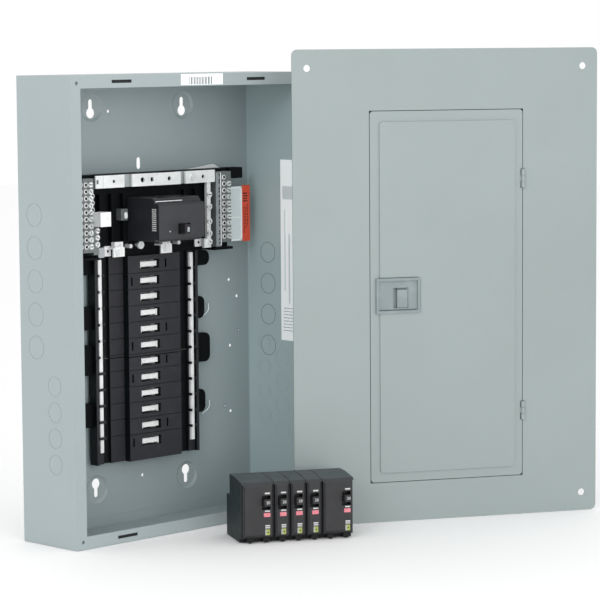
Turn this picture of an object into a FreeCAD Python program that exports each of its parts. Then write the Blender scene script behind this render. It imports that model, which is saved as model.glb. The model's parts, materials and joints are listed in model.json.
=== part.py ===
import FreeCAD, Part
import math
import os
import re
import Sketcher

# Residential load centre: a surface-mounted steel enclosure with its interior of bus bars,
# neutral bars and main breaker, the removable cover with its hinged door and latch, and a
# set of plug-on branch breakers.
#
# The frame is in millimetres.  The origin is the centre of the enclosure's bottom face, +Z is
# up, +Y points to the wall behind the enclosure and -Y to the person in front of it.  The
# cover and the row of breakers stand on the same floor in front of the enclosure, each in a
# frame of its own that is turned about Z.

Vector = FreeCAD.Vector
Rotation = FreeCAD.Rotation
Placement = FreeCAD.Placement

SIZES = {
    # enclosure
    "box_width": 361.95, "box_height": 531.4, "box_depth": 95.25, "gauge": 1.2,
    "emboss": 2.0, "side_flange": 15.0, "end_flange": 14.3, "weld_tab": 12.0,
    "cover_hole_radius": 2.1, "trim_hole_radius": 4.2,
    "cover_hole_pitch_x": 343.0, "cover_hole_pitch_z": 514.4,
    "flange_slot_x": 105.0, "flange_slot_length": 30.0, "flange_slot_height": 3.6,
    "keyhole_pitch": 143.0, "keyhole_top": 486.5, "keyhole_bottom": 52.0,
    "keyhole_radius": 6.2, "keyhole_slot_radius": 3.0, "keyhole_rise": 13.0,
    "dimple_radius": 18.0, "dimple_floor": 15.0, "centre_slot_z": 426.0,
    "groove_width": 0.7, "groove_depth": 0.35, "knockout_small": 8.0, "knockout_large": 11.1,
    "knockout_pitch": 29.7, "knockout_wide": 37.5, "knockout_back": 18.0, "knockout_front": -13.0,
    # interior: planes measured along Y
    "pan_front": 38.8, "pan_gauge": 1.2, "ridge_front": 22.0, "shelf_front": 31.0,
    "rim_front": 26.5, "stab_front": 25.0, "bus_front": 32.4,
    "bus_back": 36.0, "rail_front": 28.0, "carrier_front": 24.0,
    # interior: base and pan outline
    "pan_half": 74.0, "pan_low": 84.0, "pan_top": 415.0, "pan_wing": 104.0, "wing_low": 322.0,
    "gusset_rise": 5.5, "base_x": -4.5,
    "base_half": 81.0, "base_low": 77.0, "base_split": 200.2, "base_top": 319.0,
    "tab_low": 183.0, "tab_high": 218.0, "split_gap": 1.0,
    "ridge_left": 34.0, "ridge_right": 47.5, "shelf_out": 56.0, "rim_inner": 77.0, "channel_in": 8.0,
    "channel_out": 29.0, "tab_front": 33.0, "tab_reach": 106.0, "clip_reach": 97.5, "tab_corner": 8.0,
    # stabs, rails and the pole pitch that they share
    "pole_pitch": 19.05, "stab_low": 98.6, "stab_half": 13.4, "stab_thick": 5.8,
    "window_half": 15.0, "window_half_z": 5.2, "bus_in": 10.0, "bus_out": 27.0,
    "bus_bottom": 86.0, "bus_end": 326.0, "rail_in": 69.5, "rail_out": 74.5,
    "rail_low": 91.0, "rail_top": 317.0, "guard_front": 25.6, "guard_bar": 3.0,
    # neutral bars and their supports
    "neutral_low": 324.0, "neutral_top": 413.0, "neutral_front": 10.0, "neutral_back": 22.0,
    "screw_low": 335.0, "row_in": 4.2, "lug_row": 42.0, "lug_out": 101.8, "lug_in": 86.0,
    "twin_in": 99.5, "twin_out": 115.5, "single_in": 116.3, "single_out": 121.3,
    "flat_in": 92.5, "flat_out": 100.5, "stagger_in": 101.3, "stagger_out": 117.0,
    "link_in": 77.5, "link_out": 83.5, "link_low": 323.0, "link_top": 412.0,
    "link_thick": 4.0,
    "support_in": 91.0, "support_out": 121.5, "terminal_pitch": 7.9, "terminal_radius": 3.1,
    "terminal_head": 2.4, "wire_hole_radius": 1.9,
    "strap_z": 408.5, "strap_half": 7.3, "strap_thick": 2.0, "strap_front": 7.0,
    "insulator_low": 411.5, "insulator_top": 416.0,
    # main breaker
    "main_half": 36.0, "main_front": -30.0, "main_skin": 7.0, "main_low": 337.5,
    "main_top": 388.0, "front_low": 340.5, "front_top": 382.0,
    "main_handle_x": 4.0, "main_handle_z": 352.0, "main_pivot_y": -17.0, "main_hub": 6.0,
    "main_lever_half": 3.8, "main_lever_tip": -43.0, "main_lever_height": 11.0,
    "main_tilt": 13.0, "pivot_pin": 1.5, "pivot_bore": 1.56, "lug_x": 18.0, "lug_y": -8.0,
    "lug_hole": 5.6, "lug_low": 366.0, "lug_top": 384.0, "lug_half": 8.5, "screw_gap": 0.1,
    # cover and door, in the cover's own frame
    "cover_x": 88.0, "cover_y": -124.1, "cover_yaw": -28.7, "cover_width": 380.0,
    "cover_height": 558.0, "cover_gauge": 1.6, "corner_radius": 7.0, "door_left": 94.3,
    "door_right": 284.7, "door_low": 47.5, "door_top": 485.5, "door_gap": 0.8,
    "door_gauge": 1.2, "panel_left": 105.8, "panel_right": 275.0, "panel_low": 58.5,
    "panel_top": 473.0, "panel_rise": 1.6, "door_corner": 4.0, "hinge_x": 285.4, "hinge_y": -1.0,
    "knuckle_radius": 2.4, "hinge_pin": 1.0, "hinge_bore": 1.06, "hinge_high": 392.7,
    "hinge_lower": 114.5, "hinge_length": 22.0, "knuckle_gap": 0.4, "pan_depth": 13.0,
    "latch_left": 100.8, "latch_right": 155.3, "latch_low": 248.0, "latch_top": 289.5,
    "latch_front": -3.2, "latch_back": 5.0, "latch_lip": 3.2, "latch_well": 2.2,
    "window_left": 122.3, "window_right": 140.8, "window_low": 254.0, "window_top": 278.0,
    "button_left": 127.4, "slide_gap": 0.4,
    # branch breakers, in each breaker's own frame
    "row_x": -28.4, "row_y": -156.4, "row_yaw": -29.0, "pole_width": 18.4, "case_height": 72.5,
    "case_top_depth": 56.0, "case_depth": 70.0, "step_height": 48.0, "nose_low": 10.0,
    "nose_high": 65.0, "nose_rise": 4.0, "crown_front": 69.8, "crown_back": 34.0,
    "front_lift": 5.0, "foot_depth": 13.0, "foot_radius": 3.7,
    "front_groove": 1.4, "groove_reach": 7.0, "front_shoulder": 3.0, "shoulder_reach": 1.6,
    "pivot_y": 6.0, "pivot_z": 46.5,
    "handle_half": 4.4, "pin_reach": 5.8, "handle_hub": 4.2, "handle_reach": 15.0, "handle_thick": 4.0,
    "handle_tilt": -5.0, "pocket_half_x": 5.1, "pocket_half_z": 8.2, "pocket_depth": 10.8,
}

ROWS = 12
POLES = (2, 1, 1, 1, 2)
SIDES = (("left", -1), ("right", 1))

doc = FreeCAD.newDocument("load_centre")
sheet = doc.addObject("Spreadsheet::Sheet", "dims")
for row, (alias, number) in enumerate(SIZES.items(), start=1):
    sheet.set("A%d" % row, alias)
    sheet.set("B%d" % row, str(number))
    sheet.setAlias("B%d" % row, alias)
doc.recompute()

parts = []


def value(alias):
    """The number that the sheet holds under an alias."""
    return float(sheet.get(alias))


def bind(item, prop, text):
    """Ties a property to an expression whose words are aliases of the sheet."""
    item.setExpression(prop, re.sub(r"[a-z][a-z_]+", lambda word: "dims." + word.group(0), str(text)))


def keep(item, label, frame=None):
    """Names a finished sub-part and puts it in its place."""
    item.Label = label
    if frame is not None:
        item.Placement = frame
    parts.append(item)
    return item


def block(x, y, z):
    """A box between a low and a high limit on each axis."""
    item = doc.addObject("Part::Box", "block")
    for axis, side, (low, high) in zip("xyz", ("Length", "Width", "Height"), (x, y, z)):
        bind(item, "Placement.Base." + axis, low)
        bind(item, side, "(%s) - (%s)" % (high, low))
    return item


TURNS = {"x": Rotation(Vector(0, 1, 0), 90), "y": Rotation(Vector(1, 0, 0), -90), "z": Rotation()}


def rod(axis, centre, radius, span, kind="Part::Cylinder"):
    """A cylinder, or a cone with two radii, along an axis; centre is on the other two axes."""
    item = doc.addObject(kind, "rod")
    item.Placement = Placement(Vector(), TURNS[axis])
    others = [name for name in "xyz" if name != axis]
    for name, place in zip(others, centre):
        bind(item, "Placement.Base." + name, place)
    bind(item, "Placement.Base." + axis, span[0])
    bind(item, "Height", "(%s) - (%s)" % (span[1], span[0]))
    if kind == "Part::Cone":
        bind(item, "Radius1", radius[0])
        bind(item, "Radius2", radius[1])
    else:
        bind(item, "Radius", radius)
    return item


def join(items):
    """One solid from pieces that touch or overlap."""
    if len(items) == 1:
        return items[0]
    item = doc.addObject("Part::MultiFuse", "join")
    item.Shapes = items
    item.Refine = True
    return item


def group(items):
    """Separate solids kept as one sub-part."""
    item = doc.addObject("Part::Compound", "group")
    item.Links = items
    return item


def carve(base, tools):
    """The base with every tool's space taken away."""
    if not tools:
        return base
    item = doc.addObject("Part::Cut", "carve")
    item.Base = base
    item.Tool = join(tools)
    item.Refine = True
    return item


def rounded(item, radius, axis):
    """Rounds a block's edges that run along an axis."""
    doc.recompute()
    number = "xyz".index(axis)
    edges = []
    for index, edge in enumerate(item.Shape.Edges, start=1):
        run = edge.Vertexes[-1].Point - edge.Vertexes[0].Point
        if abs(abs(run[number]) - edge.Length) < 1e-6:
            edges.append((index, value(radius), value(radius)))
    fillet = doc.addObject("Part::Fillet", "rounded")
    fillet.Base = item
    fillet.Edges = edges
    return fillet


def outline_pad(corners, length):
    """A padded outline: corners are (Y, Z) expressions, and the pad runs along +X."""
    body = doc.addObject("PartDesign::Body", "outline")
    sketch = body.newObject("Sketcher::SketchObject", "corners")
    plane = [plane for plane in body.Origin.OriginFeatures if plane.Role == "YZ_Plane"][0]
    sketch.AttachmentSupport = (plane, [""])
    sketch.MapMode = "FlatFace"
    rough = [Vector(guess(y), guess(z), 0) for y, z in corners]
    for index, start in enumerate(rough):
        sketch.addGeometry(Part.LineSegment(start, rough[(index + 1) % len(rough)]), False)
    for index, (y, z) in enumerate(corners):
        sketch.addConstraint(Sketcher.Constraint("Coincident", index, 2, (index + 1) % len(rough), 1))
        for kind, text, axis in (("DistanceX", y, -2), ("DistanceY", z, -1)):
            if not text:
                sketch.addConstraint(Sketcher.Constraint("PointOnObject", index, 1, axis))
                continue
            name = sketch.addConstraint(Sketcher.Constraint(kind, -1, 1, index, 1, value(text)))
            bind(sketch, "Constraints[%d]" % name, text)
    pad = body.newObject("PartDesign::Pad", "pad")
    pad.Profile = sketch
    bind(pad, "Length", length)
    return body


def guess(corner):
    """A sketch corner's first guess: an alias's number, or a plain 0."""
    return value(corner) if corner else 0.0


def turned(x, y, yaw):
    """A frame on the floor, turned about Z."""
    return Placement(Vector(x, y, 0), Rotation(Vector(0, 0, 1), yaw))


def stab_height(index):
    """The height of one pole position, counted from the lowest."""
    return "stab_low + %d * pole_pitch" % index


# ---------------------------------------------------------------------------------- enclosure

HALF = "box_width / 2"
FRONT = "-box_depth / 2"
WALL_FACE = "box_depth / 2"
BACK_OUT = "box_depth / 2 - emboss"
BACK_IN = "box_depth / 2 - emboss - gauge"


def keyhole(side, base, direction):
    """A round opening and the slot that the hanging screw slides into."""
    x = "%d * keyhole_pitch / 2" % side
    through = (BACK_IN + " - 1", WALL_FACE + " + 1")
    end = "%s + %d * keyhole_rise" % (base, direction)
    low, high = (base, end) if direction > 0 else (end, base)
    return [
        rod("y", (x, base), "keyhole_radius", through),
        rod("y", (x, end), "keyhole_slot_radius", through),
        block((x + " - keyhole_slot_radius", x + " + keyhole_slot_radius"), through, (low, high)),
    ]


def ring_groove(side, y, z, radius):
    """A knockout's ring, pressed into both faces of a side wall."""
    outer = "%d * box_width / 2" % side
    inner = "%d * (box_width / 2 - gauge)" % side
    rings = []
    for face, inward in ((outer, -side), (inner, side)):
        reach = "(%s) + %d * groove_depth" % (face, inward)
        away = "(%s) - %d * groove_depth" % (face, inward)
        span = (reach, away) if inward < 0 else (away, reach)
        disc = rod("x", (y, z), radius + " + groove_width / 2", span)
        core = rod("x", (y, z), radius + " - groove_width / 2", span)
        rings.append(carve(disc, [core]))
    return rings


def enclosure_wrap():
    """The back and both sides, folded from one sheet, with the two long front flanges."""
    skins = [block(("-" + HALF, HALF), (BACK_IN, BACK_OUT), (0, "box_height"))]
    for side, sign in SIDES:
        wall = ("-" + HALF, "-%s + gauge" % HALF) if sign < 0 else (HALF + " - gauge", HALF)
        lip = ("-" + HALF, "-%s + side_flange" % HALF) if sign < 0 else (HALF + " - side_flange", HALF)
        skins.append(block(wall, (FRONT, BACK_OUT), (0, "box_height")))
        skins.append(block(lip, (FRONT, FRONT + " + gauge"), (0, "box_height")))
    holes = []
    for side, sign in SIDES:
        x = "%d * keyhole_pitch / 2" % sign
        for base, direction in (("keyhole_top", 1), ("keyhole_bottom", -1)):
            centre = (x, "%s + %d * keyhole_rise / 2" % (base, direction))
            radii = ("dimple_radius", "dimple_floor")
            well = ("dimple_radius - gauge", "dimple_floor - gauge")
            skins.append(rod("y", centre, radii, (BACK_OUT, WALL_FACE), "Part::Cone"))
            holes.append(rod("y", centre, well, (BACK_IN, WALL_FACE + " - gauge"), "Part::Cone"))
            holes += keyhole(sign, base, direction)
        for z in ("(box_height - cover_hole_pitch_z) / 2", "(box_height + cover_hole_pitch_z) / 2"):
            hole = ("%d * cover_hole_pitch_x / 2" % sign, z)
            holes.append(rod("y", hole, "cover_hole_radius", (FRONT + " - 1", FRONT + " + gauge + 1")))
        for index in range(4):
            z = "94 + %d * knockout_pitch" % index
            holes += ring_groove(sign, "knockout_front", z, "knockout_large")
            if sign > 0:
                z = "110 + %d * knockout_pitch" % index
                holes += ring_groove(sign, "knockout_back", z, "knockout_large")
                holes += ring_groove(sign, "knockout_back", z, "knockout_small")
    for index in range(5):
        z = "225 + %d * knockout_wide" % index
        holes += ring_groove(-1, "knockout_back", z, "knockout_large + 2")
    through = (BACK_IN + " - 1", BACK_OUT + " + 1")
    for z in ("centre_slot_z - 4", "centre_slot_z + 4"):
        holes.append(rod("y", (0, z), 3.0, through))
    holes.append(block((-3, 3), through, ("centre_slot_z - 4", "centre_slot_z + 4")))
    for x, z in ((-46, 488), (145, 278), (158, 257), (146, 197), (146, 116), (-128, 257), (0, 54)):
        holes.append(rod("y", (x, z), 1.9, through))
    keep(carve(join(skins), holes), "enclosure_wrap")


def endwall(label, sign):
    """A top or bottom wall with its front flange, its two slots and its rear weld tab."""
    outer = "box_height" if sign > 0 else "0"

    def rise(low, high):
        """Heights measured inward from the wall's outer face."""
        if sign > 0:
            return ("%s - (%s)" % (outer, high), "%s - (%s)" % (outer, low))
        return (low, high)

    inside = ("-(%s - gauge)" % HALF, HALF + " - gauge")
    between = ("-(%s - side_flange)" % HALF, HALF + " - side_flange")
    skins = [
        block(inside, (FRONT + " + gauge", BACK_IN), rise("0", "gauge")),
        block(between, (FRONT, FRONT + " + gauge"), rise("0", "end_flange")),
        block(inside, (BACK_IN + " - gauge", BACK_IN), rise("0", "weld_tab")),
    ]
    holes = []
    for side, hand in SIDES:
        x = "%d * flange_slot_x" % hand
        ends = (x + " - flange_slot_length / 2", x + " + flange_slot_length / 2")
        z = rise("end_flange / 2 - flange_slot_height / 2", "end_flange / 2 + flange_slot_height / 2")
        holes.append(block(ends, (FRONT + " - 1", FRONT + " + gauge + 1"), z))
    for x, radius in ((-110, "knockout_large"), (-60, 22), (0, 28), (60, 22), (110, "knockout_large")):
        for y, size in ((0, radius), (0, "(%s) * 0.72" % radius)):
            for low, high in (("-1", "groove_depth"), ("gauge - groove_depth", "gauge + 1")):
                span = rise(low, high)
                disc = rod("z", (x, y), "(%s) + groove_width / 2" % size, span)
                core = rod("z", (x, y), "(%s) - groove_width / 2" % size, span)
                holes.append(carve(disc, [core]))
    keep(carve(join(skins), holes), label)


# ----------------------------------------------------------------------------------- interior

def mounting_pan():
    """The steel plate that carries the interior, on four legs against the back wall."""
    plate = ("pan_front", "pan_front + pan_gauge")
    skins = [
        block(("-pan_half", "pan_half"), plate, ("pan_low", "pan_top")),
        block(("-pan_wing", "pan_wing"), plate, ("wing_low", "pan_top")),
    ]
    gusset = doc.addObject("Part::Wedge", "gusset")
    gusset.Placement = Placement(Vector(), Rotation(Vector(1, 0, 0), 90))
    bind(gusset, "Placement.Base.z", "pan_top")
    for prop, text in (("Xmin", 64), ("Xmax", 127), ("X2min", 111), ("X2max", 117), ("Ymin", 0),
                       ("Ymax", "gusset_rise"), ("Zmin", "-pan_front - pan_gauge"), ("Zmax", "-pan_front"),
                       ("Z2min", "-pan_front - pan_gauge"), ("Z2max", "-pan_front")):
        bind(gusset, prop, text)
    skins.append(gusset)
    for x in (-66, 66):
        for z in (96, 300, 400):
            skins.append(block((x - 7, x + 7), ("pan_front + pan_gauge", BACK_IN), (z - 7, z + 7)))
    keep(join(skins), "mounting_pan")


BASE = turned(value("base_x"), 0, 0)


def base_half(label, low, high, rows, lines, bars_cross):
    """One half of the moulded base: ridge, shelves, rims, stab windows and rail guards."""
    across = ("-base_half", "base_half")
    skins = [
        block(across, ("shelf_front", "pan_front"), (low, high)),
        block(("-ridge_left", "ridge_right"), ("ridge_front", "pan_front"), (low, high)),
    ]
    for side, sign in SIDES:
        rim = ("-base_half", "-rim_inner") if sign < 0 else ("rim_inner", "base_half")
        skins.append(block(rim, ("rim_front", "pan_front"), (low, high)))
    cuts = []
    for sign in (-1, 1):
        channel = ("-channel_out", "-channel_in") if sign < 0 else ("channel_in", "channel_out")
        cuts.append(block(channel, ("bus_front - 0.8", "pan_front + 1"), (low + " - 1", high + " + 1")))
        ditch = ("-rail_in + 2.1", "-shelf_out") if sign < 0 else ("shelf_out", "rail_in - 2.1")
        cuts.append(block(ditch, ("shelf_front - 1", "shelf_front + 4"), (low + " - 1", high + " + 1")))
    for index in rows:
        z = stab_height(index)
        window = (z + " - window_half_z", z + " + window_half_z")
        cuts.append(block(("-window_half", "window_half"), ("ridge_front - 1", "pan_front + 1"), window))
        hook = {1: 24, 5: 24, 0: -29.5, 4: -29.5}.get(index % 6)
        if hook is not None:
            reach = ("ridge_front - 1", "ridge_front + 5")
            cuts.append(block((hook, hook + 2.4), reach, (z + " - 5", z + " + 5")))
    for index in lines:
        line = stab_height(index) + " + pole_pitch / 2"
        height = (line + " - guard_bar / 2", line + " + guard_bar / 2")
        seam = (line + " - 0.5", line + " + 0.5")
        across_ridge = ("-ridge_left - 1", "ridge_right + 1")
        cuts.append(block(across_ridge, ("ridge_front - 1", "ridge_front + 1"), seam))
        for shelf in (("-shelf_out - 1", "-ridge_left"), ("ridge_right", "shelf_out + 1")):
            cuts.append(block(shelf, ("shelf_front - 1", "shelf_front + 1"), seam))
        if bars_cross:
            bar = ("guard_front", "rail_front - 0.1")
            skins.append(block(("-rail_out - 2", "-rail_in + 2"), bar, height))
        for inner, outer in (("rail_in - 2", "rail_in - 0.2"), ("rail_out + 0.2", "rail_out + 2.6")):
            depth = ("guard_front", "shelf_front + 1")
            skins.append(block((inner, outer), depth, height))
            skins.append(block(("-(%s)" % outer, "-(%s)" % inner), depth, height))
    keep(carve(join(skins), cuts), label, BASE)


def side_tabs(limits):
    """The round-cornered tabs that stand out beside the base, as (low, high, reach)."""
    tabs = []
    depth = ("tab_front", "pan_front")
    for low, high, reach in limits:
        centres = ("%s + tab_corner" % low, "%s - tab_corner" % high)
        for sign in (-1, 1):
            middle = "%d * (%s - tab_corner)" % (sign, reach)
            edge, tip = "%d * base_half" % sign, "%d * %s" % (sign, reach)
            wide = (edge, middle) if sign > 0 else (middle, edge)
            narrow = (middle, tip) if sign > 0 else (tip, middle)
            pieces = [block(wide, depth, (low, high)), block(narrow, depth, centres)]
            pieces += [rod("y", (middle, z), "tab_corner", depth) for z in centres]
            tabs.append(join(pieces))
    keep(group(tabs), "side_tabs", BASE)


def bus_bar(label, sign, rows):
    """A flat bar in its channel, with a stab at every second pole position."""
    bar = ("-bus_out", "-bus_in") if sign < 0 else ("bus_in", "bus_out")
    pieces = [block(bar, ("bus_front", "bus_back"), ("bus_bottom", "bus_end"))]
    for index in rows:
        z = stab_height(index)
        blade = (z + " - stab_thick / 2", z + " + stab_thick / 2")
        pieces.append(block(("-stab_half", "stab_half"), ("stab_front", "bus_front - 1"), blade))
        root = ("-stab_half", "-bus_in") if sign < 0 else ("bus_in", "stab_half")
        pieces.append(block(root, ("bus_front - 1", "bus_front"), blade))
        flare = ("-stab_half", "-stab_half + 2") if sign < 0 else ("stab_half - 2", "stab_half")
        pieces.append(block(flare, ("stab_front", "bus_front"), (z + " - 4.4", z + " + 3.4")))
    keep(join(pieces), label, BASE)


def neutral_rail(label, sign):
    """The plug-on rail that the breakers' neutral clips grip."""
    limits = ("-rail_out", "-rail_in") if sign < 0 else ("rail_in", "rail_out")
    rail = block(limits, ("rail_front", "shelf_front"), ("rail_low", "rail_top"))
    keep(group([rail]), label, BASE)


def upper_carrier():
    """The moulded bed under the main breaker, with ribs on its face and an apron below it."""
    across = ("-support_in", "support_in")
    pieces = [
        block(across, ("carrier_front", "pan_front"), ("wing_low + 7", "insulator_low")),
        block(across, ("carrier_front + 4", "bus_front - 0.4"), ("base_top + 0.4", "wing_low + 7")),
    ]
    for x in (-84, -66, -48, 48, 66):
        depth = ("carrier_front - 6", "carrier_front")
        pieces.append(block((x, x + 2), depth, ("main_low + 1", "insulator_low - 18")))
    keep(join(pieces), "upper_carrier")


def neutral_support(label, sign):
    """The moulded holder of one side's neutral bars."""
    limits = ("-support_out", "-support_in") if sign < 0 else ("support_in", "support_out")
    pieces = [
        block(limits, ("neutral_back", "pan_front"), ("neutral_low - 2", "insulator_low")),
        block(limits, ("neutral_front + 2", "pan_front"), ("neutral_low - 5", "neutral_low - 2")),
    ]
    keep(join(pieces), label)


def terminal_bar(label, plates, columns, screws):
    """A neutral bar: plates are (X, Z) limits; a column is (X, lowest Z, places, with screws)."""
    bar = join([block(x, ("neutral_front", "neutral_back"), z) for x, z in plates])
    cuts = []
    for x, lowest, places, with_screws in columns:
        for index in range(places):
            z = "%s + %d * terminal_pitch" % (lowest, index)
            cuts.append(rod("y", (x, z), "wire_hole_radius", ("neutral_front - 1", "neutral_back - 2")))
            if with_screws:
                screw = slotted_screw(x, z, "terminal_radius", "neutral_front", "terminal_head", 1.8, 8)
                screws.append(screw)
    keep(carve(bar, cuts), label)


def slotted_screw(x, z, radius, face, head, shank, length):
    """A screw that enters from the front, with a slot across its head."""
    top = rod("y", (x, z), radius, ("%s - %s" % (face, head), face))
    stem = rod("y", (x, z), shank, (face, "%s + %g" % (face, length)))
    depth = ("%s - %s - 1" % (face, head), "%s - %s + 0.9" % (face, head))
    slot = block(("(%s) - 4" % x, "(%s) + 4" % x), depth, ("(%s) - 0.5" % z, "(%s) + 0.5" % z))
    return carve(join([top, stem]), [slot])


def drilled(body, seats):
    """A body with a hole for each screw: seats are (X, Z, shank, near Y, far Y)."""
    return carve(body, [rod("y", (x, z), "%g + screw_gap" % shank, (near, far))
                        for x, z, shank, near, far in seats])


def neutral_assembly():
    """Both sides' neutral bars and the strap that joins them above the main breaker."""
    tall = ("neutral_low + 4", "neutral_top")
    left, right = [], []
    terminal_bar("neutral_bar_left_outer", [(("-single_out", "-single_in"), tall)],
                 [("-(single_in + single_out) / 2", "screw_low", 10, False)], left)
    ear = (("-twin_in - 1", "-twin_in + 7"), ("neutral_low + 1", "neutral_low + 33"))
    columns = [
        ("-twin_out + row_in", "screw_low", 10, False),
        ("-twin_out + 2.4 * row_in", "screw_low", 10, True),
        ("-twin_in - row_in / 2", "screw_low + lug_row", 3, False),
        ("-twin_in + row_in - 0.7", "screw_low + 2", 3, True),
    ]
    terminal_bar("neutral_bar_left_inner", [(("-twin_out", "-twin_in"), tall), ear], columns, left)
    flat = (("flat_in", "flat_out"), ("neutral_low - 1", "neutral_top"))
    terminal_bar("neutral_bar_right_inner", [flat], [], right)
    columns = [
        ("stagger_in + row_in", "screw_low", 10, False),
        ("stagger_in + 2.7 * row_in", "screw_low", 9, True),
    ]
    terminal_bar("neutral_bar_right_outer", [(("stagger_in", "stagger_out"), tall)], columns, right)
    middle = "(link_in + link_out) / 2"
    depth = ("neutral_front", "neutral_front + link_thick")
    heights = (386.5, 372, 354.5, 340, 330)
    seats = [(middle, z, 1.8, "neutral_front - 1", "neutral_front + 9") for z in heights]
    link = join([block(("link_in", "link_out"), depth, ("link_low", "link_top")),
                 block(("link_in - 5", "link_in"), depth, ("link_low", "link_low + 11"))])
    keep(drilled(link, seats), "neutral_link_bar")
    for z in heights:
        right.append(slotted_screw(middle, z, 3.3, "neutral_front", 2.6, 1.8, 3.5))
    lug = block(("-lug_out", "-lug_in"), (-4, "neutral_front"), (358, 374.5))
    bore = rod("z", (-94.4, 4.4), 4.6, (357, 376))
    keep(drilled(carve(lug, [bore]), [(-90.6, 367.6, 1.6, -5, 2)]), "neutral_lug")
    left.append(slotted_screw(-90.6, 367.6, 2.5, "-4", 0.7, 1.6, 3.5))
    keep(group(left), "terminal_screws_left")
    keep(group(right), "terminal_screws_right")


def cross_strap():
    """The stepped strap between the neutral bars; each stretch is (from, to, setback)."""
    stretches = ((-98, -86, 1.0), (-86, -56, 0.0), (-56, -42, 5.0), (-42, -6, 0.0), (-6, 30, -2.2),
                 (30, 42, 5.0), (42, 60, 0.0), (60, 89, 1.0))
    band = ("strap_z - strap_half", "strap_z + strap_half")
    pieces = []
    for index, (start, stop, setback) in enumerate(stretches):
        face = "strap_front + %g" % setback
        pieces.append(block((start, stop), (face, face + " + strap_thick"), band))
        if index:
            nearer, deeper = sorted((stretches[index - 1][2], setback))
            depth = ("strap_front + %g" % nearer, "strap_front + %g + strap_thick" % deeper)
            pieces.append(block((start - 1, start + 1), depth, band))
    round_holes = ((-71, 2.0), (-27, 3.1), (13, 2.7), (52, 2.3), (70, 2.4))
    cuts = [rod("y", (x, "strap_z"), radius, (0, 20)) for x, radius in round_holes]
    for low, high in ((-14.5, -9.8), (-96.6, -93.6)):
        cuts.append(block((low, high), (0, 20), ("strap_z - 2.3", "strap_z + 2.4")))
    keep(carve(join(pieces), cuts), "neutral_cross_strap")
    keep(slotted_screw(52, "strap_z", 4.2, "strap_front", 2.6, 2.2, 1.8), "bonding_screw")


# ------------------------------------------------------------------------------- main breaker

def main_breaker():
    """The moulded case and its front, the terminals and the straps down to the bus bars."""
    seam = "main_front + main_skin"
    case = block(("-main_half", "main_half"), (seam, "carrier_front"), ("main_low", "main_top"))
    cuts = []
    for sign in (-1, 1):
        x = "%d * lug_x" % sign
        chamber = (x + " - lug_half - 1", x + " + lug_half + 1")
        depth = ("lug_y - lug_half - 1", "lug_y + lug_half + 1")
        cuts.append(block(chamber, depth, ("lug_low", "main_top + 1")))
    reach = "main_hub + 1.2"
    hub = ("main_handle_x - (%s)" % reach, "main_handle_x + " + reach)
    under, over = "main_handle_z - main_lever_height / 2 - ", "main_handle_z + main_lever_height / 2 + "
    pocket_z = (under + "0.6", over + "0.6")
    cuts.append(block(hub, (seam + " - 1", "main_pivot_y + " + reach), pocket_z))
    cuts.append(rod("z", ("main_handle_x", "main_pivot_y"), "pivot_bore", (under + "4", over + "4")))
    ledge = (seam + " - 1", seam + " + 2.5")
    cuts.append(block(("-main_half - 1", "main_half + 1"), ledge, ("main_top - 2.5", "main_top + 1")))
    keep(carve(case, cuts), "main_breaker_case")
    inset = ("-main_half + 0.4", "main_half - 0.4")
    skin = block(inset, ("main_front", seam), ("front_low", "front_top"))
    sweep = ("main_handle_x - 9.5", "main_handle_x + 9.5")
    openings = [block(sweep, ("main_front - 1", seam + " + 1"), pocket_z)]
    step = ("main_front - 1", "main_front + 1.2")
    openings.append(block(("-main_half - 1", "main_half + 1"), step, ("front_top - 2", "front_top + 1")))
    keep(carve(skin, openings), "main_breaker_front")
    lugs, straps, bolts = [], [], []
    for sign in (-1, 1):
        x = "%d * lug_x" % sign
        width = (x + " - lug_half", x + " + lug_half")
        body = block(width, ("lug_y - lug_half", "lug_y + lug_half"), ("lug_low", "lug_top"))
        lugs.append(carve(body, [rod("z", (x, "lug_y + 1"), "lug_hole", ("lug_low - 1", "lug_top + 1"))]))
        face = "lug_y - lug_half"
        bolts.append(rod("y", (x, "(lug_low + lug_top) / 2"), 2.9, (face + " - 0.9", face)))
    for x, low in ((-60.5, 320.5), (13.5, 320.5)):
        straps.append(drilled(join([
            block((x - 8.5, x + 8.5), (12, 14), (low, low + 10)),
            block((x - 8.5, x + 8.5), (12, "carrier_front"), (low + 9, low + 11)),
            block((x - 5, x + 8), (14, 20), (low + 11, "main_low")),
        ]), [(x - 3, low + 4.5, 1.0, 11, 15)]))
        bolts.append(slotted_screw(x - 3, low + 4.5, 3.0, "12", 1.6, 1.0, 1.2))
    bolts.append(slotted_screw(-23.5, 332, 4.6, "18", 3.0, 2.2, 6))
    for x in (-39.4, 36.3):
        bolts.append(rod("y", (x, 331.5), 2.4, (15, "carrier_front")))
    keep(group(lugs), "main_line_lugs")
    keep(group(straps), "load_straps")
    keep(group(bolts), "main_breaker_bolts")


def main_handle():
    """The handle that rocks sideways in the main breaker, on two short pins."""
    hub_span = ("-main_lever_height / 2", "main_lever_height / 2")
    pins = ("-main_lever_height / 2 - 3.4", "main_lever_height / 2 + 3.4")
    pieces = [
        rod("z", (0, 0), "main_hub", hub_span),
        rod("z", (0, 0), "pivot_pin", pins),
        block(("-main_lever_half", "main_lever_half"), ("main_lever_tip - main_pivot_y", "0"), hub_span),
    ]
    centre = Vector(value("main_handle_x"), value("main_pivot_y"), value("main_handle_z"))
    lean = Rotation(Vector(0, 0, 1), -value("main_tilt"))
    keep(join(pieces), "main_breaker_handle", Placement(centre, lean))


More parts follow.
